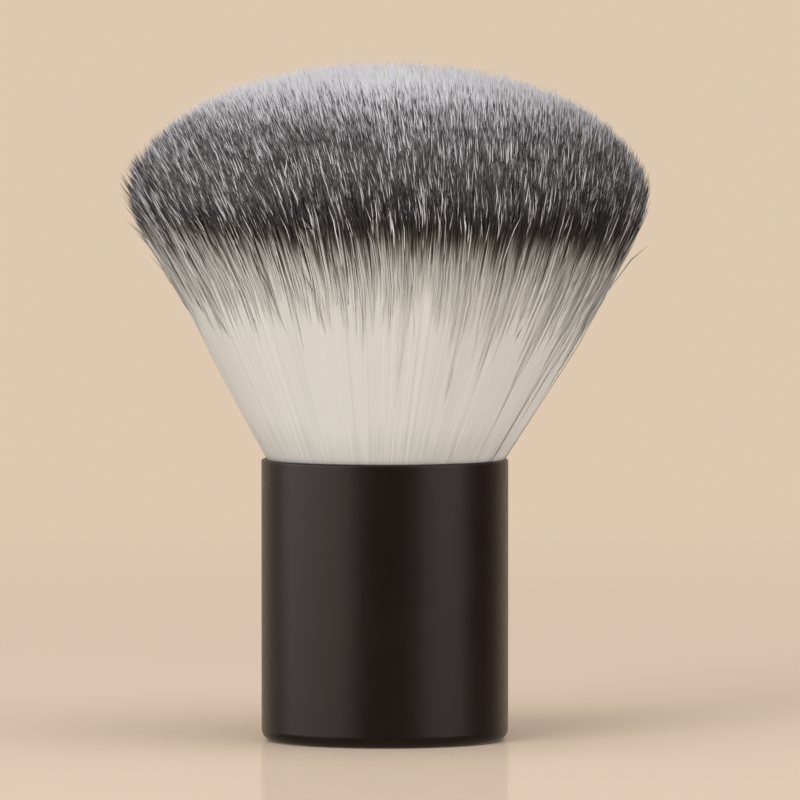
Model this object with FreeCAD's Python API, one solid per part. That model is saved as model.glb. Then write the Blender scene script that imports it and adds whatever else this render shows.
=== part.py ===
"""Kabuki makeup brush: a short, fixed-head face brush that stands on its handle.

A drawn aluminium cup is the handle. Inside it a steel slug sits on a foam pad and carries a moulded
liner, whose upper half is the socket of the brush head. The head is a knot of tapered filaments, tied
with thread and set in epoxy. It flares out of the handle and ends in a wide dome.

Millimetres. +Z is up, and the origin is the centre of the flat base that the brush stands on.
"""

import FreeCAD
import Part
import math
import os

from FreeCAD import Vector

# Handle shell, a drawn cup that is open at the top
SHELL_DIAMETER = 30.0
SHELL_HEIGHT = 34.2
SHELL_WALL = 0.8
SHELL_FLOOR = 1.0
SHELL_BASE_ROUND = 1.4
SHELL_RIM_ROUND = 0.3
RIM_ROUND_LIMIT_SHARE = 0.45

# Foam pad and steel slug, stacked on the floor of the shell
PAD_THICKNESS = 1.0
PAD_CLEARANCE = 1.0
SLUG_THICKNESS = 5.0
SLUG_CLEARANCE = 0.3

# Liner, a moulded tube with a web across it: socket above the web, ribbed hollow below it
LINER_CLEARANCE = 0.1
LINER_WALL = 1.1
LINER_RIM_DROP = 2.8
LINER_MOUTH_BEVEL = 0.5
LINER_WEB = 1.5
LINER_RIB = 1.2
SOCKET_DEPTH = 12.0

# Ring of adhesive that bonds the liner to the shell, in a groove round the web
BOND_WIDTH = 2.0
BOND_DEPTH = 0.5
BOND_FILM = 0.03

# Epoxy puck that the filament roots are set in, with a collar that wicks up round them
EPOXY_DEPTH = 3.4
EPOXY_COLLAR = 1.0
EPOXY_FILM = 0.03
ROOT_CLEARANCE = 0.05

# Binding thread, wound round the knot between the epoxy and the mouth of the socket
THREAD_DIAMETER = 0.6
THREAD_GAP = 0.5
THREAD_MARGIN = 0.9
KNOT_CLEARANCE = 0.05
SOCKET_CLEARANCE = 0.15

# Brush head: the filaments are grouped in equal tufts round the axis. The head's diameter and the dome's
# height reach to the filament tips, and the solids stop short of them, where the filaments are packed
TUFT_COUNT = 8
MOUTH_CLEARANCE = 0.3
HEAD_DIAMETER = 63.0
BELLY_ABOVE_RIM = 31.8
BELLY_ROUND = 14.0
DOME_HEIGHT = 16.5
LOOSE_TIP_LENGTH = 1.0

# Cuts run past the faces that they open by this much
OVERRUN = 1.0

FULL_TURN = 360.0
STEPS_PER_TURN = 4
SAMPLES_PER_EDGE = 12
UP = Vector(0, 0, 1)
ORIGIN = Vector(0, 0, 0)

# Heights and radii that several pieces share
shell_radius = SHELL_DIAMETER / 2
shell_bore = shell_radius - SHELL_WALL
floor_round = SHELL_BASE_ROUND - SHELL_WALL
slug_bottom = SHELL_FLOOR + PAD_THICKNESS
liner_bottom = slug_bottom + SLUG_THICKNESS
liner_top = SHELL_HEIGHT - LINER_RIM_DROP
liner_radius = shell_bore - LINER_CLEARANCE
socket_radius = liner_radius - LINER_WALL
socket_floor = liner_top - SOCKET_DEPTH
web_bottom = socket_floor - LINER_WEB
bond_bottom = socket_floor - BOND_WIDTH
bond_radius = liner_radius - BOND_DEPTH
epoxy_top = socket_floor + EPOXY_DEPTH
knot_radius = socket_radius - SOCKET_CLEARANCE - THREAD_DIAMETER - KNOT_CLEARANCE
knot_bottom = epoxy_top - EPOXY_COLLAR + ROOT_CLEARANCE
thread_radius = knot_radius + KNOT_CLEARANCE + THREAD_DIAMETER / 2
thread_bottom = epoxy_top + THREAD_MARGIN
thread_pitch = THREAD_DIAMETER + THREAD_GAP
thread_turns = int((liner_top - THREAD_MARGIN - thread_bottom) / thread_pitch)
mouth_radius = shell_bore - MOUTH_CLEARANCE
belly_radius = HEAD_DIAMETER / 2 - LOOSE_TIP_LENGTH
belly_height = SHELL_HEIGHT + BELLY_ABOVE_RIM
head_top = belly_height + DOME_HEIGHT - LOOSE_TIP_LENGTH


def at(radius, height):
    """A point of a half section, in the XZ plane."""
    return Vector(radius, 0, height)


def line(start, end):
    return Part.LineSegment(start, end).toShape()


def cylinder(radius, bottom, top):
    return Part.makeCylinder(radius, top - bottom, at(0, bottom), UP)


def tube(inner, outer, bottom, top):
    bore = cylinder(inner, bottom - OVERRUN, top + OVERRUN)
    return cylinder(outer, bottom, top).cut(bore)


def edges_at(shape, height, radius):
    """The round edges of a turned shape at one height and radius."""
    tolerance = Part.Precision.confusion()
    found = []
    for edge in shape.Edges:
        curve = edge.Curve
        if not isinstance(curve, Part.Circle):
            continue
        same_height = math.isclose(curve.Center.z, height, abs_tol=tolerance)
        same_radius = math.isclose(curve.Radius, radius, abs_tol=tolerance)
        if same_height and same_radius:
            found.append(edge)
    return found


def make_handle_shell():
    """The cup: straight wall, flat floor, a round at the base inside and out, and a softened rim."""
    cup = cylinder(shell_radius, 0, SHELL_HEIGHT)
    cup = cup.makeFillet(SHELL_BASE_ROUND, edges_at(cup, 0, shell_radius))
    hollow = cylinder(shell_bore, SHELL_FLOOR, SHELL_HEIGHT + OVERRUN)
    hollow = hollow.makeFillet(floor_round, edges_at(hollow, SHELL_FLOOR, shell_bore))
    cup = cup.cut(hollow)
    rim = edges_at(cup, SHELL_HEIGHT, shell_radius) + edges_at(cup, SHELL_HEIGHT, shell_bore)
    rim_round = min(SHELL_RIM_ROUND, SHELL_WALL * RIM_ROUND_LIMIT_SHARE)
    return cup.makeFillet(rim_round, rim)


def make_weight_pad():
    """Foam disc on the flat of the floor, short of the round at its edge."""
    return cylinder(shell_bore - floor_round - PAD_CLEARANCE, SHELL_FLOOR, slug_bottom)


def make_base_weight():
    """Steel slug, bevelled below to clear the round in the shell. Its top carries the liner."""
    radius = shell_bore - SLUG_CLEARANCE
    slug = cylinder(radius, slug_bottom, liner_bottom)
    return slug.makeChamfer(floor_round, edges_at(slug, slug_bottom, radius))


def make_handle_liner():
    """Moulded tube with a web, crossed ribs under the web, a bevelled mouth and a groove for the bond."""
    liner = tube(socket_radius, liner_radius, liner_bottom, liner_top)
    liner = liner.makeChamfer(LINER_MOUTH_BEVEL, edges_at(liner, liner_top, socket_radius))
    web_radius = socket_radius + LINER_WALL / 2
    liner = liner.fuse(cylinder(web_radius, web_bottom, socket_floor))
    corner = Vector(-web_radius, -LINER_RIB / 2, liner_bottom)
    rib = Part.makeBox(2 * web_radius, LINER_RIB, web_bottom - liner_bottom, corner)
    crossing = rib.copy()
    crossing.rotate(ORIGIN, UP, FULL_TURN / 4)
    liner = liner.fuse([rib, crossing])
    groove = tube(bond_radius, liner_radius + OVERRUN, bond_bottom, socket_floor)
    return liner.cut(groove).removeSplitter()


def make_liner_bond():
    """Ring of adhesive that fills the groove and reaches the bore of the shell."""
    inner = bond_radius + BOND_FILM
    outer = shell_bore - BOND_FILM
    return tube(inner, outer, bond_bottom + BOND_FILM, socket_floor - BOND_FILM)


def make_root_epoxy():
    """Puck on the socket's floor, with a shallow seat for the knot inside its collar."""
    puck = cylinder(socket_radius - EPOXY_FILM, socket_floor, epoxy_top)
    seat = cylinder(knot_radius + ROOT_CLEARANCE, epoxy_top - EPOXY_COLLAR, epoxy_top + OVERRUN)
    return puck.cut(seat)


def thread_point(turn):
    """A point of the winding's centre line, counted in turns from its lower end."""
    angle = 2 * math.pi * turn
    height = thread_bottom + thread_pitch * turn
    return Vector(thread_radius * math.cos(angle), thread_radius * math.sin(angle), height)


def thread_direction(turn):
    """Which way the winding runs there, as a unit vector."""
    angle = 2 * math.pi * turn
    rise = thread_pitch / (2 * math.pi)
    along = Vector(-thread_radius * math.sin(angle), thread_radius * math.cos(angle), rise)
    return along.normalize()


def arc_round(start, corner, end):
    """The arc that leaves start towards the corner and ends on the corner's other side, as far from it."""
    chord_middle = (start + end) / 2
    weight = (chord_middle - start).Length / (corner - start).Length
    middle = (chord_middle + corner * weight) / (1 + weight)
    return Part.Arc(start, middle, end).toShape()


def thread_biarc(first_turn, last_turn):
    """Two arcs that join two points of the winding and keep its direction at both."""
    start = thread_point(first_turn)
    end = thread_point(last_turn)
    leaving = thread_direction(first_turn)
    arriving = thread_direction(last_turn)
    across = end - start
    along = leaving + arriving
    spread = 4 - along.dot(along)
    lead = across.dot(along)
    reach = (math.sqrt(lead ** 2 + spread * across.dot(across)) - lead) / spread
    first_corner = start + leaving * reach
    last_corner = end - arriving * reach
    joint = (first_corner + last_corner) / 2
    return [arc_round(start, first_corner, joint), arc_round(joint, last_corner, end)]


def least_thread_gap(path):
    """Clear space between neighbouring turns, measured on points that are half a turn or more apart."""
    points = []
    for edge in path.Edges:
        points += edge.discretize(Number=SAMPLES_PER_EDGE)
    half_turn = SAMPLES_PER_EDGE * STEPS_PER_TURN
    nearest = min(
        (points[first] - points[second]).Length
        for first in range(len(points))
        for second in range(first + half_turn, len(points))
    )
    return nearest - THREAD_DIAMETER


def make_binding_thread():
    """One unbroken tube wound round the knot, whose ends run straight for one diameter."""
    steps = thread_turns * STEPS_PER_TURN
    bottom = thread_point(0)
    top = thread_point(thread_turns)
    start = bottom - thread_direction(0) * THREAD_DIAMETER
    end = top + thread_direction(thread_turns) * THREAD_DIAMETER
    edges = [line(start, bottom)]
    for step in range(steps):
        edges += thread_biarc(step / STEPS_PER_TURN, (step + 1) / STEPS_PER_TURN)
    edges.append(line(top, end))
    path = Part.Wire(edges)
    section = Part.Wire(Part.makeCircle(THREAD_DIAMETER / 2, start, thread_direction(0)))
    winding = path.makePipeShell([section], True, False)
    expected = math.pi * THREAD_DIAMETER ** 2 / 4 * path.Length
    print(f"thread: {thread_turns} turns, length {path.Length:.1f}, least gap {least_thread_gap(path):.2f},"
          f" volume {winding.Volume:.2f} against {expected:.2f}")
    return winding


def flare_tangent(mouth):
    """Where the straight flare from the mouth meets the round of the belly, and the middle of that round."""
    centre = at(belly_radius - BELLY_ROUND, belly_height)
    towards = mouth - centre
    facing = math.atan2(towards.z, towards.x)
    meets = facing + math.acos(BELLY_ROUND / towards.Length)
    halfway = meets / 2
    tangent = centre + at(BELLY_ROUND * math.cos(meets), BELLY_ROUND * math.sin(meets))
    middle = centre + at(BELLY_ROUND * math.cos(halfway), BELLY_ROUND * math.sin(halfway))
    return tangent, middle


def quarter_ellipse(start, corner, end):
    """An exact quarter of an ellipse, tangent to both sides of the corner."""
    curve = Part.BezierCurve()
    curve.setPoles([start, corner, end])
    curve.setWeight(2, math.cos(math.pi / 4))
    return curve.toShape()


def head_outline():
    """Half section of the brush head: knot, flare, rounded belly and an elliptical dome."""
    axis_root = at(0, knot_bottom)
    root = at(knot_radius, knot_bottom)
    throat = at(knot_radius, liner_top)
    mouth = at(mouth_radius, SHELL_HEIGHT)
    tangent, middle = flare_tangent(mouth)
    belly = at(belly_radius, belly_height)
    crown = at(0, head_top)
    return [
        line(axis_root, root),
        line(root, throat),
        line(throat, mouth),
        line(mouth, tangent),
        Part.Arc(tangent, middle, belly).toShape(),
        quarter_ellipse(belly, at(belly_radius, head_top), crown),
        line(crown, axis_root),
    ]


def make_tufts():
    """Equal sectors of the head, each a bunch of filaments, side by side round the axis."""
    sector = FULL_TURN / TUFT_COUNT
    first = Part.Face(Part.Wire(head_outline())).revolve(ORIGIN, UP, sector)
    tufts = {}
    for number in range(TUFT_COUNT):
        tuft = first.copy()
        tuft.rotate(ORIGIN, UP, sector * number)
        tufts[f"bristle_tuft_{number + 1}"] = tuft
    return tufts


def main():
    pieces = {
        "handle_shell": make_handle_shell(),
        "weight_pad": make_weight_pad(),
        "base_weight": make_base_weight(),
        "handle_liner": make_handle_liner(),
        "liner_bond": make_liner_bond(),
        "root_epoxy": make_root_epoxy(),
        "binding_thread": make_binding_thread(),
    }
    pieces.update(make_tufts())
    os.makedirs("parts", exist_ok=True)
    for name, shape in pieces.items():
        print(f"{name}: {len(shape.Solids)} solid, valid {shape.isValid()}, {shape.Volume:.1f} mm3")
        shape.exportStep(f"parts/{name}.step")


main()
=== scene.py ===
"""Kabuki makeup brush: the looks of its pieces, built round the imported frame, on a plain studio stage."""

import math

import bmesh
import bpy
import numpy as np
from bpy.props import FloatProperty, FloatVectorProperty, IntProperty, PointerProperty
from mathutils import Matrix, Vector
from mathutils.kdtree import KDTree


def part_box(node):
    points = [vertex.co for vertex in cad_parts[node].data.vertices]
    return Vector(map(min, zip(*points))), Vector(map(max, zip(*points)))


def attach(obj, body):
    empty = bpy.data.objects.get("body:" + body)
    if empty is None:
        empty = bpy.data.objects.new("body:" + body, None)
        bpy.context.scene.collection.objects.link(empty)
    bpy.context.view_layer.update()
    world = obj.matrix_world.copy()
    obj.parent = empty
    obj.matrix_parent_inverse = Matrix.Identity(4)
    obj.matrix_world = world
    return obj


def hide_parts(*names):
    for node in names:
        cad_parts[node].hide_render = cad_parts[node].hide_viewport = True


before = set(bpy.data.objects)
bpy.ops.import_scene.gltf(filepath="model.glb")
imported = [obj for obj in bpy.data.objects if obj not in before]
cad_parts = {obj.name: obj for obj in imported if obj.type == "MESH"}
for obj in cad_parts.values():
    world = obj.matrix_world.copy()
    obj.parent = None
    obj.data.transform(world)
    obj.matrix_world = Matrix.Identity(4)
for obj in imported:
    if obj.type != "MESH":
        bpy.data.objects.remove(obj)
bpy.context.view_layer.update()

bl_info = {
    "name": "Kabuki brush",
    "version": (1, 0, 0),
    "blender": (4, 5, 0),
    "location": "3D View > Sidebar > Brush",
    "description": "Builds the visible pieces of a kabuki makeup brush and a plain studio round it",
    "category": "Add Mesh",
}

# One millimetre in metres, and the sizes that come from the frame
MM = 0.001
SHELL_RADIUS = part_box("handle_shell")[1].x
RIM_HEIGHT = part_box("handle_shell")[1].z
PAD_LOW, PAD_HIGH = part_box("weight_pad")
LINER_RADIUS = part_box("handle_liner")[1].x
LINER_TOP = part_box("handle_liner")[1].z
THREAD_LOW, THREAD_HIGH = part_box("binding_thread")
TUFTS = sorted(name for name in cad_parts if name.startswith("bristle_tuft_"))
KNOT_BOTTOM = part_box(TUFTS[0])[0].z
LOOSE_TIP_LENGTH = 1.2 * MM
HEAD_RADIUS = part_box(TUFTS[0])[1].x + LOOSE_TIP_LENGTH
HEAD_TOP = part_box(TUFTS[0])[1].z + LOOSE_TIP_LENGTH

MERGE_DISTANCE = 0.001 * MM
UP = Vector((0, 0, 1))
FULL_TURN = 2 * math.pi
GOLDEN_ANGLE = math.pi * (3 - math.sqrt(5))
BODY = "root"

# The unit hair: three-sided rings from root to near the tip, then a point
HAIR_SIDES = 3
HAIR_RINGS = 4
HAIR_VERTICES = HAIR_SIDES * HAIR_RINGS + 1

# The hair's UV map: across, a column for each length of the dark band and each tone; along, the length from
# the end of the pale tip, with room for the tip before it
BAKE_MAP = "OFBake"
DYE_STEP = 0.8 * MM
DYE_LEVELS = 32
DYE_TONES = 4
DYE_COLUMNS = DYE_LEVELS * DYE_TONES
DYE_LEAD = 8 * MM
DYE_SPAN = 80 * MM

# Along a hair: where the dye fades below the dark band, where the pale tip fades, where painted shade
# darkens the roots near the rim and how dark it gets, and the shades of the darkest and the lightest tone
DYE_FADE = (-3.5 * MM, 6.5 * MM)
TIP_FADE = (-0.5 * MM, 0.7 * MM)
RIM_SHADE_RANGE = (32 * MM, 38 * MM)
RIM_PAINTED_SHADE = 0.85
TONE_SHADES = (0.93, 1.04)

# How hairs differ: thickness and pull of the locks as shares, and the power that keeps splay to the outside
WIDTH_RANGE = (0.8, 1.2)
PULL_RANGE = (0.4, 1.6)
OUTER_POWER = 8

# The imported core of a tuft: steps round the axis, and the columns of the dye map that it walks through
CORE_STEPS = 96
CORE_FIRST_COLUMN = 30
CORE_COLUMNS = 8
CORE_GAP_POWER = 3
CORE_TOP_GAP_SHARE = 0.2

# Lamps: azimuth in degrees, from the camera to its right, then distance, height and size in metres, and the
# kinds of ray that don't see the lamp
LAMPS = {
    "window": (-38, 1.30, 0.60, (0.80, 0.80), ("camera", "glossy")),
    "bounce": (70, 1.00, 0.17, (1.20, 0.30), ("camera", "glossy")),
    "key": (-69, 1.10, 0.32, (1.95, 0.80), ("camera", "diffuse")),
    "fill": (57, 0.95, 0.32, (0.85, 0.80), ("camera", "diffuse")),
    "top": (10, 0.32, 1.05, (0.90, 0.90), ("camera",)),
}

# What reflections show beside the backdrop: ranges of a ray's direction, then of the brightness
BEHIND_RANGE = (0.25, 0.9)
LEVEL_RANGE = (-0.5, -0.05, 0.35, 1.0)
BELOW_RANGE = (-0.7, -0.1, 0.45, 0.0)


class HandleSettings(bpy.types.PropertyGroup):
    """Sizes and colours of the lacquered handle shell."""

    floor_thickness: FloatProperty(
        name="Floor", description="Thickness of the closed end", default=PAD_LOW.z, unit="LENGTH")
    bore_clearance: FloatProperty(
        name="Bore clearance", description="Gap between the shell's bore and the liner", default=0.1 * MM,
        unit="LENGTH")
    base_round: FloatProperty(
        name="Base round", description="Radius of the lower outer edge", default=1.4 * MM, unit="LENGTH")
    rim_round: FloatProperty(
        name="Rim round", description="Radius of the rim's two edges", default=0.3 * MM, unit="LENGTH")
    colour: FloatVectorProperty(
        name="Lacquer", description="Colour of the satin lacquer", subtype="COLOR", size=3,
        default=(0.0078, 0.0048, 0.0038))
    worn_colour: FloatVectorProperty(
        name="Worn edge", description="Colour of the lacquer where edges are rubbed", subtype="COLOR",
        size=3, default=(0.026, 0.020, 0.017))
    sheen_colour: FloatVectorProperty(
        name="Sheen", description="Tint of the lacquer's reflections", subtype="COLOR", size=3,
        default=(1.0, 0.80, 0.76))
    roughness: FloatProperty(
        name="Roughness", description="Roughness of the satin lacquer", default=0.36, subtype="FACTOR")


class InnerSettings(bpy.types.PropertyGroup):
    """Sizes and colours of the pieces inside the handle."""

    thread_turns: IntProperty(
        name="Thread turns", description="Turns of the thread round the knot", default=6)
    thread_plies: IntProperty(
        name="Thread plies", description="Plies that the thread is twisted from", default=3)
    thread_twists: IntProperty(
        name="Twists a turn", description="Twists of the plies in one turn", default=26)
    thread_diameter: FloatProperty(
        name="Thread diameter", description="Diameter of the binding thread", default=0.6 * MM,
        unit="LENGTH")
    ply_depth: FloatProperty(
        name="Ply depth", description="Depth of the grooves between plies, as a share", default=0.22,
        subtype="FACTOR")
    pad_round: FloatProperty(
        name="Pad round", description="Round of the foam pad's edges", default=0.3 * MM, unit="LENGTH")
    thread_colour: FloatVectorProperty(
        name="Thread", description="Colour of the binding thread", subtype="COLOR", size=3,
        default=(0.62, 0.57, 0.47))
    foam_colour: FloatVectorProperty(
        name="Foam", description="Colour of the foam pad", subtype="COLOR", size=3,
        default=(0.045, 0.045, 0.05))
    steel_colour: FloatVectorProperty(
        name="Steel", description="Colour of the zinc-plated slug", subtype="COLOR", size=3,
        default=(0.55, 0.56, 0.58))
    plastic_colour: FloatVectorProperty(
        name="Liner", description="Colour of the moulded liner", subtype="COLOR", size=3,
        default=(0.52, 0.50, 0.45))
    resin_colour: FloatVectorProperty(
        name="Resin", description="Colour of the cured adhesive and resin", subtype="COLOR", size=3,
        default=(0.48, 0.29, 0.09))


class BristleSettings(bpy.types.PropertyGroup):
    """Sizes, arrangement and dye of the hairs."""

    doublings: IntProperty(
        name="Doublings", description="A tuft has two to this power of hairs", default=13)
    seed: IntProperty(name="Seed", description="Seed of everything random in the head", default=11)
    thickness: FloatProperty(
        name="Thickness", description="Thickness of a hair", default=0.115 * MM, unit="LENGTH")
    ring_widths: FloatVectorProperty(
        name="Ring widths", description="Shares of the thickness at root, throat, gathering, point and tip",
        size=5, default=(1.0, 1.0, 1.15, 1.05, 0.0))
    soften: FloatProperty(
        name="Soften", description="How far a hair is shaded as the head's surface", default=0.85,
        subtype="FACTOR")
    turn: FloatProperty(
        name="Turn", description="Scatter of the turn of a hair's flat side from the outside", default=0.30)
    lean: FloatVectorProperty(
        name="Lean", description="Sideways lean of the head at those five places", size=5, unit="LENGTH",
        default=(0.0, 0.0, 1.0 * MM, 0.65 * MM, 0.3 * MM))
    taper: FloatProperty(
        name="Taper", description="Length of a hair's pointed end", default=2.0 * MM, unit="LENGTH")
    gather_length: FloatProperty(
        name="Gather length", description="Length of hair that gathers in strands", default=9.0 * MM,
        unit="LENGTH")
    root_spread: FloatProperty(
        name="Root spread", description="How much of the knot's radius the roots take", default=0.985,
        subtype="FACTOR")
    mouth_radius: FloatProperty(
        name="Mouth radius", description="Radius of the head at the rim", default=14.75 * MM, unit="LENGTH")
    flare: FloatProperty(name="Flare", description="Slope of the outermost hairs at the rim", default=0.615)
    flare_ease: FloatProperty(
        name="Flare ease", description="How fast that slope eases with height, per metre", default=2.0)
    belly_height: FloatProperty(
        name="Belly height", description="Height of the head's widest place", default=66.0 * MM,
        unit="LENGTH")
    belly_round: FloatProperty(
        name="Belly round", description="Radius of the turn from flare to dome", default=9.0 * MM,
        unit="LENGTH")
    belly_start: FloatProperty(
        name="Belly start", description="Angle below level at which the turn starts",
        default=math.radians(10), subtype="ANGLE")
    dome_power: FloatProperty(
        name="Dome power", description="Power that fills the dome's shoulders", default=0.94)
    core_gap: FloatProperty(
        name="Core gap", description="Depth of the core under the flare's hairs", default=0.08 * MM,
        unit="LENGTH")
    core_depth: FloatProperty(
        name="Core depth", description="Depth of the core under the longest tips", default=2.2 * MM,
        unit="LENGTH")
    root_crowding: FloatProperty(
        name="Root crowding", description="Power that spreads roots, 0.5 for evenly", default=0.48)
    root_jitter: FloatProperty(
        name="Root jitter", description="Scatter of the roots, as a share of the knot's radius",
        default=0.002)
    lock_count: IntProperty(name="Locks", description="Locks that hairs gather in", default=2400)
    lock_pull: FloatProperty(
        name="Lock pull", description="How far tips are drawn to the middle of their lock", default=0.10,
        subtype="FACTOR")
    strand_count: IntProperty(
        name="Strands", description="Fine strands that hairs gather in", default=40000)
    strand_pull: FloatProperty(
        name="Strand pull", description="How far tips are drawn to the middle of their strand",
        default=0.30, subtype="FACTOR")
    gather_power: FloatProperty(
        name="Gathering", description="Power of the height by which hairs gather", default=8.0)
    tip_scatter: FloatProperty(
        name="Tip scatter", description="Sideways scatter of the tips", default=0.28 * MM, unit="LENGTH")
    outer_splay: FloatProperty(
        name="Outer splay", description="How many times more the outermost tips scatter", default=2.0)
    length_scatter: FloatProperty(
        name="Length scatter", description="Spread of the tips below the surface", default=1.0 * MM,
        unit="LENGTH")
    lock_length_scatter: FloatProperty(
        name="Lock length scatter", description="Spread of the heights from lock to lock",
        default=0.15 * MM, unit="LENGTH")
    outer_ragged: FloatProperty(
        name="Outer raggedness", description="Extra spread from lock to lock at the outside",
        default=0.8 * MM, unit="LENGTH")
    wave: FloatProperty(
        name="Wave", description="Sideways wave along a hair", default=0.12 * MM, unit="LENGTH")
    short_share: FloatProperty(
        name="Short hairs", description="Share of hairs that end below the others", default=0.15,
        subtype="FACTOR")
    short_depth: FloatProperty(
        name="Short depth", description="Mean depth at which short hairs end", default=2.2 * MM,
        unit="LENGTH")
    stray_share: FloatProperty(
        name="Stray hairs", description="Share of hairs that lean out of the head", default=0.04,
        subtype="FACTOR")
    stray_scatter: FloatProperty(
        name="Stray scatter", description="Sideways scatter of stray tips", default=1.3 * MM, unit="LENGTH")
    pale_length: FloatProperty(
        name="Pale tip", description="Usual length of the pale tips at the belly", default=0.11 * MM,
        unit="LENGTH")
    crown_pale_length: FloatProperty(
        name="Pale tip on the crown", description="Usual length of the pale tips at the top of the dome",
        default=2.9 * MM, unit="LENGTH")
    crown_power: FloatProperty(
        name="Crown power", description="Power of the height by which pale tips grow", default=1.6)
    long_pale: FloatProperty(
        name="Long pale tips", description="Extra length of the pale tips of some strands",
        default=3.4 * MM, unit="LENGTH")
    long_pale_share: FloatProperty(
        name="Long-tipped strands", description="Share of strands with long pale tips", default=0.135,
        subtype="FACTOR")
    pale_spread: FloatProperty(
        name="Pale spread", description="Spread of the pale tips, as a logarithm", default=0.45)
    dye_height: FloatProperty(
        name="Dye line", description="Height of the dark band's lower edge", default=61.6 * MM,
        unit="LENGTH")
    dye_scatter: FloatProperty(
        name="Dye scatter", description="Spread of the dye line from hair to hair", default=1.8 * MM,
        unit="LENGTH")
    dye_tilt: FloatProperty(
        name="Dye tilt", description="Fall of the dye line towards +X", default=math.radians(1.6),
        subtype="ANGLE")
    dye_rise: FloatProperty(
        name="Dye rise", description="Most that the dye line lies above its height", default=0.5 * MM,
        unit="LENGTH")
    lock_dye_scatter: FloatProperty(
        name="Lock dye scatter", description="Spread of the dye line from lock to lock", default=0.35 * MM,
        unit="LENGTH")
    run_share: FloatProperty(
        name="Long dyed hairs", description="Share of hairs that are dyed far down", default=0.025,
        subtype="FACTOR")
    run_depth: FloatProperty(
        name="Long dye depth", description="Mean extra depth of the dye on those", default=2.2 * MM,
        unit="LENGTH")
    run_limit: FloatProperty(
        name="Longest dye", description="Most extra depth of the dye", default=5.0 * MM, unit="LENGTH")
    pale_colour: FloatVectorProperty(
        name="Pale", description="Colour of the tips", subtype="COLOR", size=3, default=(0.62, 0.61, 0.645))
    dark_colour: FloatVectorProperty(
        name="Dark", description="Colour of the upper dark band", subtype="COLOR", size=3,
        default=(0.031, 0.028, 0.027))
    brown_colour: FloatVectorProperty(
        name="Brown", description="Colour of the lower dark band", subtype="COLOR", size=3,
        default=(0.035, 0.027, 0.021))
    stain_colour: FloatVectorProperty(
        name="Stain", description="Colour of the thin dye below the dark band", subtype="COLOR", size=3,
        default=(0.155, 0.146, 0.130))
    cream_colour: FloatVectorProperty(
        name="Cream", description="Colour of the undyed hair", subtype="COLOR", size=3,
        default=(0.635, 0.647, 0.630))


class StageSettings(bpy.types.PropertyGroup):
    """Floor, lights and camera."""

    lens: FloatProperty(name="Lens", description="Focal length, in millimetres", default=445.0)
    camera_distance: FloatProperty(
        name="Distance", description="Distance from the brush to the camera", default=1.200, unit="LENGTH")
    camera_height: FloatProperty(
        name="Height", description="Height of the camera above the floor", default=0.095, unit="LENGTH")
    aim_side: FloatProperty(
        name="Aim to the side", description="Place of the picture's middle beside the axis",
        default=1.84 * MM, unit="LENGTH")
    aim_height: FloatProperty(
        name="Aim height", description="Height of the picture's middle", default=41.33 * MM, unit="LENGTH")
    floor_radius: FloatProperty(
        name="Floor radius", description="Radius of the floor", default=12.0, unit="LENGTH")
    floor_colour: FloatVectorProperty(
        name="Floor", description="Colour of the floor", subtype="COLOR", size=3,
        default=(0.583, 0.467, 0.379))
    floor_gloss: FloatProperty(
        name="Floor gloss", description="Share of the floor's light that is mirrored", default=0.20,
        subtype="FACTOR")
    backdrop_colour: FloatVectorProperty(
        name="Backdrop", description="Colour that shows behind the floor", subtype="COLOR", size=3,
        default=(0.73, 0.58, 0.44))
    fade_start: FloatProperty(
        name="Fade start", description="Distance at which the floor starts to fade", default=0.05,
        unit="LENGTH")
    fade_end: FloatProperty(
        name="Fade end", description="Distance at which the floor is the backdrop", default=0.5,
        unit="LENGTH")
    front_share: FloatProperty(
        name="Front",
        description="Brightness of the room's front in reflections, as a share of the backdrop's",
        default=0.04, subtype="FACTOR")
    sky_strength: FloatProperty(
        name="Sky", description="Strength of the even light from all round", default=0.62)
    sky_colour: FloatVectorProperty(
        name="Sky colour", description="Colour of that light", subtype="COLOR", size=3,
        default=(1.0, 0.96, 0.89))
    window_power: FloatProperty(
        name="Window", description="Watts of the light that throws the shadow", default=14.0)
    bounce_power: FloatProperty(
        name="Bounce", description="Watts of the low card on the right", default=4.5)
    key_power: FloatProperty(
        name="Key", description="Watts of the left softbox, seen in sheens", default=17.0)
    fill_power: FloatProperty(
        name="Fill", description="Watts of the right softbox, seen in sheens", default=6.0)
    top_power: FloatProperty(name="Top", description="Watts of the overhead softbox", default=6.4)


# Materials

def start_finish(name, roughness, specular=0.5, metallic=0.0):
    """A new material's node tree and its shader, with the values that are the same all over it."""
    material = bpy.data.materials.new(name)
    material.use_nodes = True
    shader = material.node_tree.nodes["Principled BSDF"]
    shader.inputs["Roughness"].default_value = roughness
    shader.inputs["Specular IOR Level"].default_value = specular
    shader.inputs["Metallic"].default_value = metallic
    return material, material.node_tree, shader


def add_node(tree, kind, inputs=None, **options):
    """Add a node with these options. An input is a value, or the socket that feeds it."""
    node = tree.nodes.new(kind)
    for option, value in options.items():
        setattr(node, option, value)
    for socket, value in (inputs or {}).items():
        if isinstance(value, bpy.types.NodeSocket):
            tree.links.new(value, node.inputs[socket])
        else:
            node.inputs[socket].default_value = value
    return node


def add_noise(tree, coordinates, grain, detail=2.0, roughness=0.5):
    """Noise with grains of about this size, in metres."""
    inputs = {"Vector": coordinates, "Scale": 1 / grain, "Detail": detail, "Roughness": roughness}
    return add_node(tree, "ShaderNodeTexNoise", inputs).outputs["Fac"]


def add_range(tree, value, low, high, to_low, to_high):
    """A value mapped from one range to another with soft ends."""
    inputs = {"Value": value, "From Min": low, "From Max": high, "To Min": to_low, "To Max": to_high}
    return add_node(tree, "ShaderNodeMapRange", inputs, interpolation_type="SMOOTHSTEP").outputs["Result"]


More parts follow.
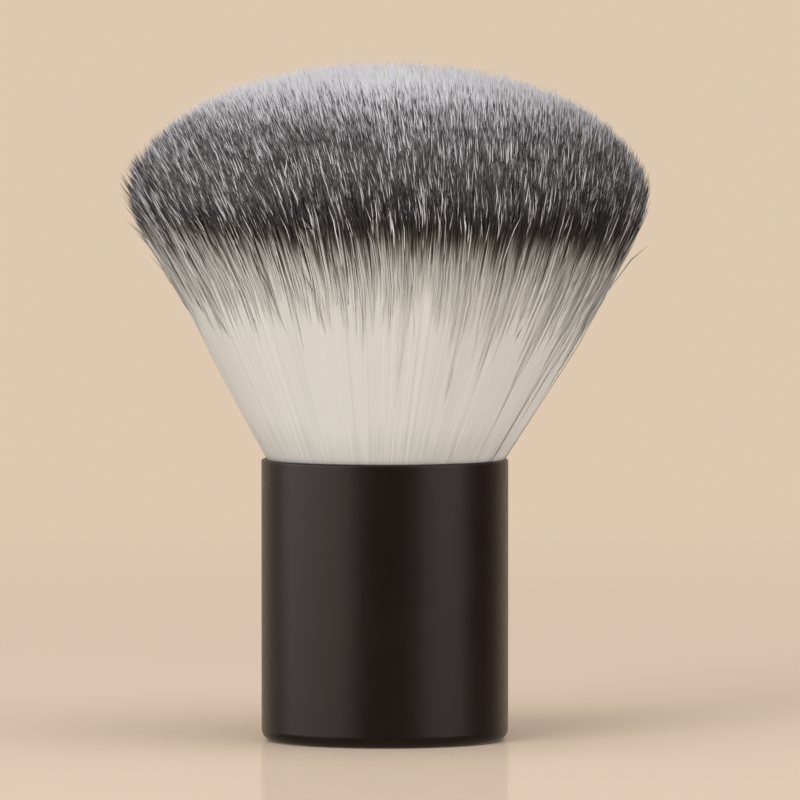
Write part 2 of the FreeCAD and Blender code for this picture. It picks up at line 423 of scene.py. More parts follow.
def add_math(tree, operation, first, second=0.0):
    """The result of one sum on two values."""
    return add_node(tree, "ShaderNodeMath", {0: first, 1: second}, operation=operation).outputs[0]


def add_ramp(tree, value, stops):
    """A colour that follows a value through stops of place and colour."""
    node = add_node(tree, "ShaderNodeValToRGB", {"Fac": value})
    elements = node.color_ramp.elements
    while len(elements) < len(stops):
        elements.new(1.0)
    for element, (place, colour) in zip(elements, stops):
        element.position = place
        element.color = (*colour, 1.0)
    return node.outputs["Color"]


def add_bump(tree, shader, height, strength, depth):
    """Bump on the shader from a height, with the depth in metres."""
    inputs = {"Height": height, "Strength": strength, "Distance": depth}
    bump = add_node(tree, "ShaderNodeBump", inputs)
    tree.links.new(bump.outputs["Normal"], shader.inputs["Normal"])


def add_place(tree):
    """The place on the piece, in metres."""
    return add_node(tree, "ShaderNodeTexCoord").outputs["Object"]


def scaled(colour, factor):
    """A colour made lighter or darker by a factor."""
    return tuple(channel * factor for channel in colour)


def mottle(tree, shader, pattern, colour, dark, low=0.3, high=0.7):
    """Colour the shader by a pattern: darkened to a share where it is low, and full where it is high."""
    mottled = add_ramp(tree, pattern, [(low, scaled(colour, dark)), (high, colour)])
    tree.links.new(mottled, shader.inputs["Base Color"])


def vary_roughness(tree, shader, pattern, least, most, low=0.3, high=0.7):
    """Let the shader's roughness follow a pattern."""
    tree.links.new(add_range(tree, pattern, low, high, least, most), shader.inputs["Roughness"])


def lacquer_finish(settings):
    """Satin black-brown lacquer with a fine grain, and rubbed edges at the rim and the base."""
    material, tree, shader = start_finish("satin_lacquer", settings.roughness, specular=0.29)
    shader.inputs["Specular Tint"].default_value = (*settings.sheen_colour, 1.0)
    place = add_place(tree)
    height = add_node(tree, "ShaderNodeSeparateXYZ", {"Vector": place}).outputs["Z"]
    cloud = add_noise(tree, place, 9 * MM, detail=4.0)
    grain = add_noise(tree, place, 0.22 * MM, detail=3.0)
    scuff = add_noise(tree, place, 1.6 * MM, detail=6.0, roughness=0.7)

    rim_wear = add_range(tree, height, RIM_HEIGHT - 2 * settings.rim_round, RIM_HEIGHT, 0.0, 0.5)
    base_wear = add_range(tree, height, 0.0, settings.base_round, 0.4, 0.0)
    wear = add_math(tree, "MULTIPLY", add_math(tree, "ADD", rim_wear, base_wear), scuff)
    body = add_ramp(tree, cloud, [
        (0.3, scaled(settings.colour, 0.85)), (0.7, scaled(settings.colour, 1.15))])
    worn = add_node(tree, "ShaderNodeMix", {"Factor": wear, 6: body, 7: (*settings.worn_colour, 1.0)},
                    data_type="RGBA")
    tree.links.new(worn.outputs[2], shader.inputs["Base Color"])

    vary_roughness(tree, shader, scuff, settings.roughness - 0.04, settings.roughness + 0.04, 0.25, 0.75)
    add_bump(tree, shader, grain, 0.10, 0.01 * MM)
    return material


def foam_finish(settings):
    """Open-cell foam, whose dented cells between the cell walls are darkened by painted shade."""
    material, tree, shader = start_finish("cell_foam", 0.92, specular=0.2)
    place = add_place(tree)
    cells = add_node(tree, "ShaderNodeTexVoronoi", {"Vector": place, "Scale": 1 / (0.35 * MM)})
    pore_dents_and_shade = cells.outputs["Distance"]
    # Painted shade: the dents are darkened in the colour
    mottle(tree, shader, pore_dents_and_shade, settings.foam_colour, 0.4, 0.1, 0.6)
    add_bump(tree, shader, pore_dents_and_shade, 0.8, 0.15 * MM)
    return material


def steel_finish(settings):
    """Zinc-plated turned steel, with fine rings from the lathe."""
    material, tree, shader = start_finish("turned_steel", 0.34, metallic=1.0)
    place = add_place(tree)
    rings = add_node(tree, "ShaderNodeTexWave", {"Vector": place, "Scale": 1 / (1.5 * MM),
                                                 "Distortion": 0.4}, wave_type="RINGS", rings_direction="Z")
    bloom = add_noise(tree, place, 3 * MM, detail=5.0)
    mottle(tree, shader, bloom, settings.steel_colour, 0.8)
    vary_roughness(tree, shader, bloom, 0.26, 0.44, 0.2, 0.8)
    add_bump(tree, shader, rings.outputs["Fac"], 0.25, 0.02 * MM)
    return material


def plastic_finish(settings):
    """Natural moulded plastic with faint flow lines and a spark-eroded skin."""
    material, tree, shader = start_finish("moulded_plastic", 0.48)
    place = add_place(tree)
    flow = add_noise(tree, place, 6 * MM, detail=3.0)
    skin = add_noise(tree, place, 0.15 * MM, detail=2.0)
    mottle(tree, shader, flow, settings.plastic_colour, 0.92, 0.35, 0.65)
    vary_roughness(tree, shader, flow, 0.42, 0.54)
    add_bump(tree, shader, skin, 0.3, 0.02 * MM)
    return material


def resin_finish(settings, name, depth):
    """Cured amber resin with trapped bubbles. Depth darkens it."""
    material, tree, shader = start_finish(name, 0.18)
    place = add_place(tree)
    cloud = add_noise(tree, place, 2.5 * MM, detail=4.0)
    bubbles = add_node(tree, "ShaderNodeTexVoronoi", {"Vector": place, "Scale": 1 / (0.8 * MM)})
    dents = add_range(tree, bubbles.outputs["Distance"], 0.0, 0.25, 0.0, 1.0)
    mottle(tree, shader, cloud, settings.resin_colour, depth)
    vary_roughness(tree, shader, cloud, 0.14, 0.26)
    add_bump(tree, shader, dents, 0.5, 0.05 * MM)
    return material


def thread_finish(settings):
    """Waxed polyester thread with fine filaments."""
    material, tree, shader = start_finish("waxed_thread", 0.55, specular=0.4)
    place = add_place(tree)
    fibre = add_noise(tree, place, 0.05 * MM, detail=3.0)
    wax = add_noise(tree, place, 1.0 * MM, detail=3.0)
    mottle(tree, shader, wax, settings.thread_colour, 0.8)
    vary_roughness(tree, shader, wax, 0.45, 0.65)
    add_bump(tree, shader, fibre, 0.5, 0.02 * MM)
    return material


def hair_finish(settings):
    """Dyed hair from the dye map: pale tip, dark band turning brown, cream shaft, painted shade by the rim.
    """
    material, tree, shader = start_finish("dyed_hair", 0.48, specular=0.35)
    place = add_node(tree, "ShaderNodeUVMap", uv_map=BAKE_MAP).outputs["UV"]
    axes = add_node(tree, "ShaderNodeSeparateXYZ", {"Vector": place}).outputs
    column = add_math(tree, "FLOOR", add_math(tree, "MULTIPLY", axes["X"], DYE_COLUMNS))
    level = add_math(tree, "FLOOR", add_math(tree, "DIVIDE", column, DYE_TONES))
    below_tip = add_math(tree, "SUBTRACT", add_math(tree, "MULTIPLY", axes["Y"], DYE_SPAN), DYE_LEAD)
    below_dark = add_math(tree, "SUBTRACT", below_tip, add_math(tree, "MULTIPLY", level, DYE_STEP))
    tone = add_node(tree, "ShaderNodeTexWhiteNoise", {"W": column}, noise_dimensions="1D").outputs["Value"]

    fade = add_range(tree, below_dark, *DYE_FADE, 0.0, 1.0)
    shaft = add_ramp(tree, fade, [
        (0.0, settings.dark_colour), (0.16, settings.brown_colour), (0.34, settings.stain_colour),
        (0.58, scaled(settings.cream_colour, 0.66)), (1.0, settings.cream_colour)])
    # Painted shade that darkens the hair towards its root, near the rim
    root = add_range(tree, below_tip, *RIM_SHADE_RANGE, 1.0, RIM_PAINTED_SHADE)
    pale = add_range(tree, below_tip, *TIP_FADE, 1.0, 0.0)
    dyed = add_node(tree, "ShaderNodeMix", {"Factor": pale, 6: shaft, 7: (*settings.pale_colour, 1.0)},
                    data_type="RGBA")
    # The random tone, times that painted shade near the rim
    shade = add_math(tree, "MULTIPLY", add_range(tree, tone, 0.0, 1.0, *TONE_SHADES), root)
    toned = add_node(tree, "ShaderNodeVectorMath", {0: dyed.outputs[2], "Scale": shade}, operation="SCALE")
    tree.links.new(toned.outputs["Vector"], shader.inputs["Base Color"])
    vary_roughness(tree, shader, tone, 0.42, 0.54, 0.0, 1.0)
    return material


def floor_finish(settings):
    """Smooth pale board with a faint gloss, which turns into the evenly lit backdrop further away."""
    material, tree, shader = start_finish("pale_floor", 0.6, specular=0.0)
    place = add_place(tree)
    cloud = add_noise(tree, place, 60 * MM, detail=3.0)
    mottle(tree, shader, cloud, settings.floor_colour, 0.985, 0.2, 0.8)
    away = add_node(tree, "ShaderNodeVectorMath", {0: place}, operation="LENGTH").outputs["Value"]
    fade = add_range(tree, away, settings.fade_start, settings.fade_end, 0.0, 1.0)
    glow = add_node(tree, "ShaderNodeEmission", {"Color": (*settings.backdrop_colour, 1.0)})
    gloss = add_node(tree, "ShaderNodeBsdfGlossy", {"Roughness": 0.12})
    glossed = add_node(tree, "ShaderNodeMixShader", {0: settings.floor_gloss, 1: shader.outputs[0],
                                                     2: gloss.outputs[0]})
    mixed = add_node(tree, "ShaderNodeMixShader", {0: fade, 1: glossed.outputs[0], 2: glow.outputs[0]})
    tree.links.new(mixed.outputs[0], tree.nodes["Material Output"].inputs["Surface"])
    return material


# Pieces

def add_piece(name, mesh, material):
    """Put a mesh in the scene as an object at the origin, with its material."""
    mesh.name = name
    mesh.materials.clear()
    mesh.materials.append(material)
    piece = bpy.data.objects.new(name, mesh)
    bpy.context.scene.collection.objects.link(piece)
    return piece


def mesh_from(bm):
    """Turn a finished bmesh into a smooth-shaded mesh."""
    bmesh.ops.recalc_face_normals(bm, faces=bm.faces)
    mesh = bpy.data.meshes.new("mesh")
    bm.to_mesh(mesh)
    bm.free()
    mesh.shade_smooth()
    return mesh


def join_piece(piece, node):
    """Let a piece stand for a node, whose own mesh is hidden, and ride on the brush."""
    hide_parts(node)
    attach(piece, BODY)


def new_points(geometry):
    """The vertices among what a bmesh operator made."""
    return [item for item in geometry if isinstance(item, bmesh.types.BMVert)]


def ring_edges(bm, radius, height, slack=0.01 * MM):
    """The edges of the circle that lies at a radius and a height."""
    def on_ring(vert):
        return abs(vert.co.xy.length - radius) < slack and abs(vert.co.z - height) < slack
    return [edge for edge in bm.edges if all(on_ring(vert) for vert in edge.verts)]


def bevel_ring(bm, radius, height, size, segments):
    """Round the circular edge at a radius and a height."""
    bmesh.ops.bevel(bm, geom=ring_edges(bm, radius, height), offset=size, offset_type="OFFSET",
                    affect="EDGES", segments=segments, profile=0.5, material=-1)


def shell_mesh(settings, steps=256, base_segments=10, edge_segments=6):
    """The drawn cup: its half section is spun round the axis, then its four edges are rounded."""
    bore = LINER_RADIUS + settings.bore_clearance
    section = [(0, 0), (SHELL_RADIUS, 0), (SHELL_RADIUS, RIM_HEIGHT), (bore, RIM_HEIGHT),
               (bore, settings.floor_thickness), (0, settings.floor_thickness)]
    bm = bmesh.new()
    points = [bm.verts.new((radius, 0, height)) for radius, height in section]
    sides = [bm.edges.new(pair) for pair in zip(points, points[1:])]
    bmesh.ops.spin(bm, geom=points + sides, cent=(0, 0, 0), axis=UP, angle=FULL_TURN, steps=steps,
                   use_merge=True)
    bmesh.ops.remove_doubles(bm, verts=bm.verts, dist=MERGE_DISTANCE)
    bevel_ring(bm, SHELL_RADIUS, 0, settings.base_round, base_segments)
    bevel_ring(bm, SHELL_RADIUS, RIM_HEIGHT, settings.rim_round, edge_segments)
    bevel_ring(bm, bore, RIM_HEIGHT, settings.rim_round, edge_segments)
    bevel_ring(bm, bore, settings.floor_thickness, settings.base_round / 2, edge_segments)
    return mesh_from(bm)


def pad_mesh(settings, sides=96, edge_segments=5):
    """The foam disc, with softly rounded edges."""
    bm = bmesh.new()
    bmesh.ops.create_circle(bm, cap_ends=True, segments=sides, radius=PAD_HIGH.x,
                            matrix=Matrix.Translation((0, 0, PAD_LOW.z)))
    grown = bmesh.ops.extrude_face_region(bm, geom=bm.faces[:], use_keep_orig=True)
    bmesh.ops.translate(bm, verts=new_points(grown["geom"]), vec=(0, 0, PAD_HIGH.z - PAD_LOW.z))
    for height in (PAD_LOW.z, PAD_HIGH.z):
        bevel_ring(bm, PAD_HIGH.x, height, settings.pad_round, edge_segments)
    return mesh_from(bm)


def thread_mesh(settings, steps_a_turn=104, ply_points=6):
    """The binding thread: a lobed section drawn along the winding, and twisted as it goes."""
    radius = settings.thread_diameter / 2
    centre = THREAD_HIGH.x - radius
    steps = settings.thread_turns * steps_a_turn
    climb = (THREAD_HIGH.z - THREAD_LOW.z - settings.thread_diameter) / steps
    turn = Matrix.Rotation(FULL_TURN / steps_a_turn, 3, "Z")
    twist = FULL_TURN * settings.thread_twists / steps_a_turn

    bm = bmesh.new()
    bmesh.ops.create_circle(bm, segments=settings.thread_plies * ply_points, radius=radius,
                            matrix=Matrix.Rotation(math.pi / 2, 4, "X"))
    for vert in bm.verts:
        lobe = math.cos(settings.thread_plies * math.atan2(vert.co.z, vert.co.x))
        vert.co *= 1 + settings.ply_depth * (lobe - 1) / 2
    middle = Vector((centre, -settings.thread_diameter, THREAD_LOW.z + radius))
    tangent = Vector((0, 1, 0))
    bmesh.ops.translate(bm, verts=bm.verts, vec=middle)
    edges = bm.edges[:]
    for step in range(steps + 2):
        grown = bmesh.ops.extrude_edge_only(bm, edges=edges)["geom"]
        points = new_points(grown)
        edges = [item for item in grown if isinstance(item, bmesh.types.BMEdge)]
        if step in (0, steps + 1):
            bmesh.ops.translate(bm, verts=points, vec=tangent * settings.thread_diameter)
            middle = middle + tangent * settings.thread_diameter
            continue
        bmesh.ops.rotate(bm, verts=points, cent=(0, 0, 0), matrix=turn)
        bmesh.ops.translate(bm, verts=points, vec=UP * climb)
        middle = turn @ middle + UP * climb
        tangent = turn @ tangent
        bmesh.ops.rotate(bm, verts=points, cent=middle, matrix=Matrix.Rotation(twist, 3, tangent))
    bmesh.ops.holes_fill(bm, edges=bm.edges)
    return mesh_from(bm)


# Hair

def unit(vectors):
    """Vectors brought to a length of one."""
    return vectors / np.linalg.norm(vectors, axis=-1, keepdims=True)


def nearest(points, centres):
    """For each point, the number of the centre that is nearest."""
    tree = KDTree(len(centres))
    for number, (x, y) in enumerate(centres):
        tree.insert((x, y, 0), number)
    tree.balance()
    return np.array([tree.find((x, y, 0))[1] for x, y in points])


def flare_radius(settings, height):
    """Radius of the outermost hairs at a height, from the throat up."""
    rise = height - RIM_HEIGHT
    return settings.mouth_radius + settings.flare * rise - settings.flare_ease * rise ** 2


def surface_height(settings, spread, belly_steps=12, dome_steps=48):
    """Height at which a hair meets the head's surface, from its place between the axis and the outside."""
    belly = np.linspace(-settings.belly_start, 0, belly_steps)
    dome = np.linspace(0, math.pi / 2, dome_steps)[1:]
    radius = np.append(HEAD_RADIUS + settings.belly_round * (np.cos(belly) - 1),
                       HEAD_RADIUS * np.cos(dome) ** settings.dome_power)
    height = settings.belly_height + np.append(
        settings.belly_round * np.sin(belly), (HEAD_TOP - settings.belly_height) * np.sin(dome))
    share = radius / flare_radius(settings, height)
    return np.interp(spread, share[::-1], height[::-1])


def root_places(settings, random):
    """Places of the roots in a unit disc: an even spiral with some jitter, in order round the axis."""
    number = np.arange(len(TUFTS) * 2 ** settings.doublings) + 0.5
    spread = settings.root_spread * (number / number.size) ** settings.root_crowding
    angle = number * GOLDEN_ANGLE % FULL_TURN
    order = np.argsort(angle)
    places = spread[:, None] * np.stack([np.cos(angle), np.sin(angle)], axis=1)
    return places[order] + random.normal(0, settings.root_jitter, places.shape)


def tip_places(settings, roots, random):
    """Places of the tips in the same disc, gathered in strands and locks, and each hair's two groups."""
    strands = roots[random.choice(len(roots), settings.strand_count, replace=False)]
    locks = strands[random.choice(len(strands), settings.lock_count, replace=False)]
    strand = nearest(roots, strands)
    lock = nearest(strands, locks)[strand]
    pull = settings.lock_pull * random.uniform(*PULL_RANGE, settings.lock_count)
    tips = roots + settings.strand_pull * (strands[strand] - roots)
    tips += pull[lock][:, None] * (locks[lock] - tips)
    stray = random.random(len(roots)) < settings.stray_share
    splay = 1 + (settings.outer_splay - 1) * np.linalg.norm(roots, axis=1) ** OUTER_POWER
    scatter = np.where(stray, settings.stray_scatter, settings.tip_scatter * splay) / HEAD_RADIUS
    tips += scatter[:, None] * random.normal(size=tips.shape)
    return tips, strand, lock


def tip_heights(settings, tips, lock, random):
    """Heights of the tips: on the head's surface, with uneven lengths and some short hairs."""
    spread = np.linalg.norm(tips, axis=1)
    ragged = settings.lock_length_scatter + settings.outer_ragged * np.minimum(spread, 1) ** OUTER_POWER
    height = surface_height(settings, spread)
    height -= np.abs(random.normal(0, settings.length_scatter, len(tips)))
    height += ragged * random.normal(0, 1, settings.lock_count)[lock]
    short = random.random(len(tips)) < settings.short_share
    return height - short * random.exponential(settings.short_depth, len(tips))


def hair_paths(settings, roots, tips, height, random):
    """Points along each hair: in the knot, at the throat, where it gathers and narrows, and its tip."""
    throat = np.full_like(height, LINER_TOP)
    stations = [np.full_like(height, KNOT_BOTTOM), throat, height - settings.gather_length,
                height - settings.taper, height]
    paths = []
    for station, lean in zip(stations, settings.lean):
        share = np.clip((station - throat) / (height - throat), 0, 1)[:, None]
        place = roots + share ** settings.gather_power * (tips - roots)
        radius = flare_radius(settings, np.maximum(station, throat))[:, None]
        wave = settings.wave * share * (1 - share) * random.normal(size=place.shape)
        paths.append(np.column_stack([place * radius + wave + (lean, 0), station]))
    return np.stack(paths, axis=1)


def side_directions(settings, points):
    """Directions off the flare's side at points."""
    flat = points[..., :2]
    across = flat / np.maximum(np.linalg.norm(flat, axis=-1, keepdims=True), MM)
    return unit(np.concatenate([across, np.full_like(points[..., :1], -settings.flare)], axis=-1))


def dome_directions(settings, points):
    """Directions off the dome at points."""
    above = points - np.array((0, 0, settings.belly_height))
    return unit(above / np.array((HEAD_RADIUS, HEAD_RADIUS, HEAD_TOP - settings.belly_height)) ** 2)


def dye_places(settings, paths, strand, lock, random):
    """Places on the dye map: the column of each hair, and how far along the map each of its points lies."""
    count = len(paths)
    steps = np.linalg.norm(np.diff(paths, axis=1), axis=2)
    from_tip = np.column_stack([np.cumsum(steps[:, ::-1], axis=1)[:, ::-1], np.zeros(count)])
    upright = unit(paths[:, -1] - paths[:, -3])[:, 2]
    rise = (paths[:, -1, 2] - settings.belly_height) / (HEAD_TOP - settings.belly_height)
    crown = np.clip(rise, 0, 1) ** settings.crown_power
    pale = settings.pale_length * (settings.crown_pale_length / settings.pale_length) ** crown
    long = random.random(settings.strand_count) < settings.long_pale_share
    pale += settings.long_pale * long[strand]
    pale *= np.exp(random.normal(0, settings.pale_spread, count))
    scatter = random.normal(0, settings.dye_scatter, count)
    line = settings.dye_height + np.minimum(scatter, settings.dye_rise)
    line += random.normal(0, settings.lock_dye_scatter, settings.lock_count)[lock]
    line -= math.tan(settings.dye_tilt) * paths[:, -1, 0]
    runs = random.random(count) < settings.run_share
    line -= runs * np.minimum(random.exponential(settings.run_depth, count), settings.run_limit)
    dark = (paths[:, -1, 2] - line) / upright - pale
    level = np.clip(np.rint(dark / DYE_STEP), 1, DYE_LEVELS - 1)
    column = level * DYE_TONES + random.integers(DYE_TONES, size=count)
    return column, np.clip((DYE_LEAD + from_tip - pale[:, None]) / DYE_SPAN, 0, 1)


def add_core(bm, settings, stations=14):
    """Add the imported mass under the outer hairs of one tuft: half a section of the head, spun round."""
    heights = np.linspace(LINER_TOP, settings.dye_height, stations)
    deeper = CORE_TOP_GAP_SHARE * settings.core_depth - settings.core_gap
    gap = settings.core_gap + deeper * np.linspace(0, 1, stations) ** CORE_GAP_POWER
    side = settings.root_spread * flare_radius(settings, heights) - gap
    turn = np.linspace(0, math.pi / 2, stations)
    radius = np.concatenate([(0,), side, (HEAD_RADIUS - settings.core_depth) * np.cos(turn[:-1]), (0,)])
    dome = HEAD_TOP - settings.core_depth - settings.belly_height
    height = np.concatenate([(LINER_TOP,), heights, settings.belly_height + dome * np.sin(turn)])
    section = bm.faces.new([bm.verts.new((r, 0, z)) for r, z in zip(radius, height)])
    hairs = len(bm.verts) - len(section.verts)
    bmesh.ops.spin(bm, geom=section.verts[:] + section.edges[:] + [section], cent=(0, 0, 0), axis=UP,
                   angle=FULL_TURN / len(TUFTS), steps=CORE_STEPS)
    bmesh.ops.remove_doubles(bm, verts=bm.verts[:][hairs:], dist=MERGE_DISTANCE)


def hair_field(settings):
    """One mesh of a tuft's unit hairs, whose heights are their rings' numbers, and then of its core."""
    bm = bmesh.new()
    bmesh.ops.create_circle(bm, cap_ends=True, segments=HAIR_SIDES, radius=1)
    faces = bm.faces[:]
    for ring in range(1, HAIR_RINGS):
        edges = [edge for face in faces for edge in face.edges]
        grown = bmesh.ops.extrude_face_region(bm, geom=faces + edges, use_keep_orig=ring == 1)["geom"]
        bmesh.ops.translate(bm, verts=new_points(grown), vec=UP)
        faces = [item for item in grown if isinstance(item, bmesh.types.BMFace)]
    poked = bmesh.ops.poke(bm, faces=faces)
    bmesh.ops.translate(bm, verts=poked["verts"], vec=UP)
    bmesh.ops.recalc_face_normals(bm, faces=bm.faces)
    for _ in range(settings.doublings):
        bmesh.ops.duplicate(bm, geom=bm.verts[:] + bm.edges[:] + bm.faces[:])
    add_core(bm, settings)
    return mesh_from(bm)


def core_dye(settings, points, random):
    """Places of the core's points on the dye map: dark under the tips and cream below, in streaks."""
    turn = np.arctan2(points[:, 1], points[:, 0]) * len(TUFTS) / FULL_TURN
    step = np.rint(turn * CORE_STEPS).astype(int)
    walk = np.cumsum(random.integers(-1, 2, CORE_STEPS + 1)) % (2 * CORE_COLUMNS)
    column = CORE_FIRST_COLUMN + np.abs(walk - CORE_COLUMNS)[step]
    scatter = random.normal(0, settings.dye_scatter, CORE_STEPS + 1)
    line = settings.dye_height + np.minimum(scatter, settings.dye_rise)[step]
    below_line = (line - points[:, 2]) * math.hypot(1, settings.flare)
    below_tip = np.maximum(column // DYE_TONES * DYE_STEP + below_line, MM)
    return np.column_stack([(column + 0.5) / DYE_COLUMNS, (DYE_LEAD + below_tip) / DYE_SPAN])


def tuft_meshes(settings):
    """The meshes of all the tufts, whose hairs are arranged together so that no parting shows."""
    random = np.random.default_rng(settings.seed)
    roots = root_places(settings, random)
    tips, strand, lock = tip_places(settings, roots, random)
    paths = hair_paths(settings, roots, tips, tip_heights(settings, tips, lock, random), random)
    column, dye = dye_places(settings, paths, strand, lock, random)
    outward = np.concatenate(
        [side_directions(settings, paths[:, :3]), dome_directions(settings, paths[:, 3:])], axis=1)
    along = unit(paths[:, -1] - paths[:, 1])
    across = unit(np.cross(along, outward[:, 2] + settings.turn * random.normal(size=along.shape)))
    over = np.cross(along, across)
    own_width = random.uniform(*WIDTH_RANGE, len(paths))
    width = settings.thickness / 2 * np.outer(own_width, settings.ring_widths)

    field = hair_field(settings)
    places = np.empty(3 * len(field.vertices))
    field.vertices.foreach_get("co", places)
    unit_hair, core = np.split(places.reshape(-1, 3), [HAIR_VERTICES * 2 ** settings.doublings])
    ring = np.rint(unit_hair[:, 2]).astype(int)
    at_tip = (ring == HAIR_RINGS)[:, None]
    corner = np.empty(len(field.loops), int)
    field.loops.foreach_get("vertex_index", corner)

    lean_heights = [LINER_TOP, settings.belly_height - settings.gather_length,
                    settings.belly_height - settings.taper, settings.belly_height]
    meshes = []
    for number in range(len(TUFTS)):
        hair = np.arange(len(unit_hair)) // HAIR_VERTICES + number * 2 ** settings.doublings
        sideways = unit_hair[:, :1] * across[hair] + unit_hair[:, 1:2] * over[hair]
        points = paths[hair, ring] + width[hair, ring][:, None] * sideways
        own = np.where(at_tip, along[hair], sideways)
        shading = unit(own + settings.soften * (outward[hair, ring] - own))
        in_column = column[hair] + 0.5 + unit_hair[:, 0] / 4
        hair_map = np.column_stack([in_column / DYE_COLUMNS, dye[hair, ring]])
        core_map = core_dye(settings, core, random)
        turn = np.array(Matrix.Rotation(number * FULL_TURN / len(TUFTS), 3, "Z"))
        mass = core @ turn.T
        mass_shading = np.where(mass[:, 2:] < settings.belly_height, side_directions(settings, mass),
                                dome_directions(settings, mass))
        mass[:, 0] += np.interp(mass[:, 2], lean_heights, settings.lean[1:])
        mesh = field.copy()
        mesh.vertices.foreach_set("co", np.concatenate([points, mass]).ravel())
        dye_map = mesh.uv_layers.new(name=BAKE_MAP)
        dye_map.uv.foreach_set("vector", np.concatenate([hair_map, core_map])[corner].ravel())
        mesh.normals_split_custom_set_from_vertices(np.concatenate([shading, mass_shading]))
        mesh.update()
        meshes.append(mesh)
    bpy.data.meshes.remove(field)
    return meshes


# Operators

class BRUSH_OT_handle_shell(bpy.types.Operator):
    """Build the lacquered handle shell"""

    bl_idname = "brush.handle_shell"
    bl_label = "Handle shell"
    bl_options = {"REGISTER", "UNDO"}

    def execute(self, context):
        settings = context.scene.brush_handle
        piece = add_piece("lacquered_handle", shell_mesh(settings), lacquer_finish(settings))
        piece.modifiers.new("even_normals", "WEIGHTED_NORMAL").weight = 100
        join_piece(piece, "handle_shell")
        return {"FINISHED"}


class BRUSH_OT_inner_pieces(bpy.types.Operator):
    """Build the foam pad and the binding thread, and finish the other pieces inside the handle"""

    bl_idname = "brush.inner_pieces"
    bl_label = "Inner pieces"
    bl_options = {"REGISTER", "UNDO"}

    def execute(self, context):
        settings = context.scene.brush_inner
        pad = add_piece("foam_pad", pad_mesh(settings), foam_finish(settings))
        join_piece(pad, "weight_pad")
        thread = add_piece("twisted_thread", thread_mesh(settings), thread_finish(settings))
        join_piece(thread, "binding_thread")
        finishes = {
            "base_weight": steel_finish(settings),
            "handle_liner": plastic_finish(settings),
            "liner_bond": resin_finish(settings, "bond_resin", 0.75),
            "root_epoxy": resin_finish(settings, "root_resin", 0.55),
        }
        for node, finish in finishes.items():
            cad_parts[node].data.materials.clear()
            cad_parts[node].data.materials.append(finish)
        return {"FINISHED"}


class BRUSH_OT_bristle_tufts(bpy.types.Operator):
    """Build the eight tufts of dyed hair"""

    bl_idname = "brush.bristle_tufts"
    bl_label = "Bristle tufts"
    bl_options = {"REGISTER", "UNDO"}

    def execute(self, context):
        settings = context.scene.brush_bristle
        finish = hair_finish(settings)
        for node, mesh in zip(TUFTS, tuft_meshes(settings)):
            piece = add_piece(node.replace("bristle", "hair"), mesh, finish)
            join_piece(piece, node)
        return {"FINISHED"}


class BRUSH_OT_stage(bpy.types.Operator):
    """Build the floor, the lights and the camera"""

    bl_idname = "brush.stage"
    bl_label = "Stage"
    bl_options = {"REGISTER", "UNDO"}

    def execute(self, context):
        settings = context.scene.brush_stage
        add_floor(settings)
        add_sky(context.scene, settings)
        for name, place in LAMPS.items():
            add_lamp(name, getattr(settings, name + "_power"), *place)
        add_camera(context.scene, settings)
        context.scene.view_settings.view_transform = "Standard"
        return {"FINISHED"}


# Stage

def add_floor(settings):
    """A wide round floor under the brush."""
    bm = bmesh.new()
    bmesh.ops.create_circle(bm, cap_ends=True, segments=96, radius=settings.floor_radius)
    floor = add_piece("floor", mesh_from(bm), floor_finish(settings))
    floor.visible_glossy = False


def add_sky(scene, settings):
    """Even warm light from all round. What is seen is the backdrop, and reflections show a dark front."""
    scene.world = bpy.data.worlds.new("studio")
    scene.world.use_nodes = True
    tree = scene.world.node_tree
    output = tree.nodes["World Output"]
    rays = add_node(tree, "ShaderNodeLightPath")
    direction = add_node(tree, "ShaderNodeTexCoord").outputs["Generated"]
    axes = add_node(tree, "ShaderNodeSeparateXYZ", {"Vector": direction}).outputs
    behind = add_range(tree, axes["Y"], *BEHIND_RANGE, settings.front_share, 1.0)
    level = add_range(tree, axes["Z"], *LEVEL_RANGE)
    below = add_range(tree, axes["Z"], *BELOW_RANGE)
    mirrored = add_math(tree, "MAXIMUM", add_math(tree, "MULTIPLY", behind, level), below)
    seen = add_math(tree, "MAXIMUM", mirrored, rays.outputs["Is Camera Ray"])
    backdrop = add_node(tree, "ShaderNodeBackground", {
        "Color": (*settings.backdrop_colour, 1), "Strength": seen})
    light = add_node(tree, "ShaderNodeBackground", {
        "Color": (*settings.sky_colour, 1), "Strength": settings.sky_strength})
    mixed = add_node(tree, "ShaderNodeMixShader", {
        0: rays.outputs["Is Diffuse Ray"], 1: backdrop.outputs[0], 2: light.outputs[0]})
    tree.links.new(mixed.outputs[0], output.inputs["Surface"])


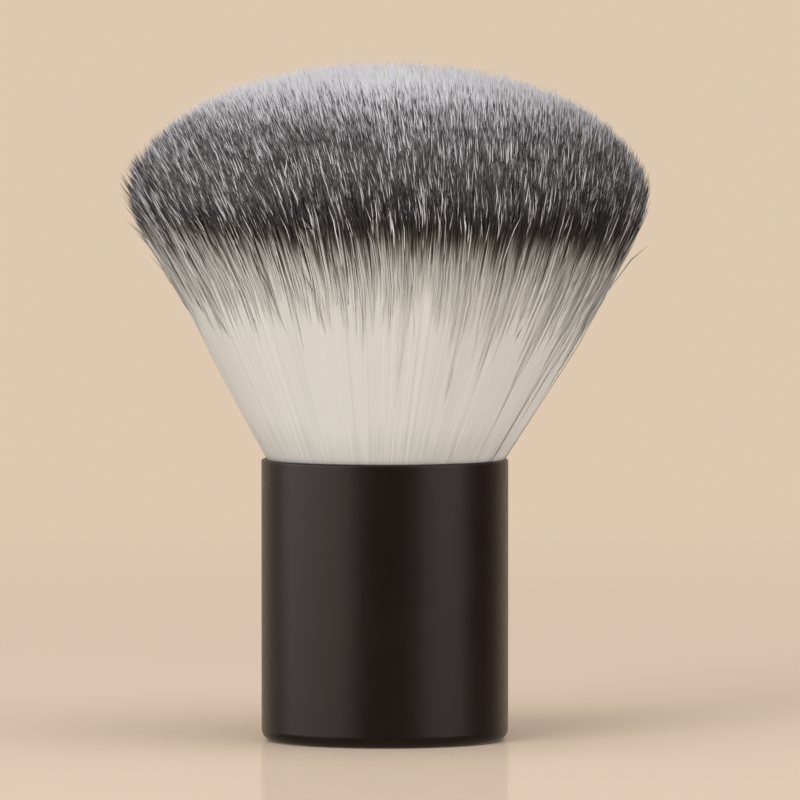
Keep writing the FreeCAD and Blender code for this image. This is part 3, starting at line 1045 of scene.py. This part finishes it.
def add_lamp(name, power, azimuth, distance, height, size, unseen_by):
    """A rectangular light that faces the brush, in the place that the table of lamps gives."""
    angle = math.radians(azimuth)
    light = bpy.data.lights.new(name, "AREA")
    light.shape = "RECTANGLE"
    light.size, light.size_y = size
    light.energy = power
    lamp = bpy.data.objects.new(name, light)
    lamp.location = (distance * math.sin(angle), -distance * math.cos(angle), height)
    aim = Vector((0, 0, RIM_HEIGHT)) - lamp.location
    lamp.rotation_euler = aim.to_track_quat("-Z", "Y").to_euler()
    for kind in unseen_by:
        setattr(lamp, "visible_" + kind, False)
    bpy.context.scene.collection.objects.link(lamp)


def add_camera(scene, settings):
    """A long lens a little above the brush, looking along +Y."""
    camera = bpy.data.objects.new("camera", bpy.data.cameras.new("camera"))
    camera.data.lens = settings.lens
    camera.location = (settings.aim_side, -settings.camera_distance, settings.camera_height)
    aim = Vector((settings.aim_side, 0, settings.aim_height)) - camera.location
    camera.rotation_euler = aim.to_track_quat("-Z", "Y").to_euler()
    scene.collection.objects.link(camera)
    scene.camera = camera


# Add-on

GROUPS = {
    "brush_handle": HandleSettings,
    "brush_inner": InnerSettings,
    "brush_bristle": BristleSettings,
    "brush_stage": StageSettings,
}
OPERATORS = (BRUSH_OT_handle_shell, BRUSH_OT_inner_pieces, BRUSH_OT_bristle_tufts, BRUSH_OT_stage)


class BRUSH_PT_panel(bpy.types.Panel):
    """Lists the brush's settings and the operators that build it"""

    bl_idname = "BRUSH_PT_panel"
    bl_label = "Kabuki brush"
    bl_space_type = "VIEW_3D"
    bl_region_type = "UI"
    bl_category = "Brush"

    def draw(self, context):
        for (group, kind), operator in zip(GROUPS.items(), OPERATORS):
            column = self.layout.column(align=True)
            for setting in kind.__annotations__:
                column.prop(getattr(context.scene, group), setting)
            column.operator(operator.bl_idname)


CLASSES = (*GROUPS.values(), *OPERATORS, BRUSH_PT_panel)


def register():
    for kind in CLASSES:
        bpy.utils.register_class(kind)
    for group, kind in GROUPS.items():
        setattr(bpy.types.Scene, group, PointerProperty(type=kind))


def unregister():
    for group in GROUPS:
        delattr(bpy.types.Scene, group)
    for kind in reversed(CLASSES):
        bpy.utils.unregister_class(kind)


def main():
    """Build the brush and its stage."""
    register()
    bpy.ops.brush.handle_shell()
    bpy.ops.brush.inner_pieces()
    bpy.ops.brush.bristle_tufts()
    bpy.ops.brush.stage()


if __name__ == "__main__":
    main()
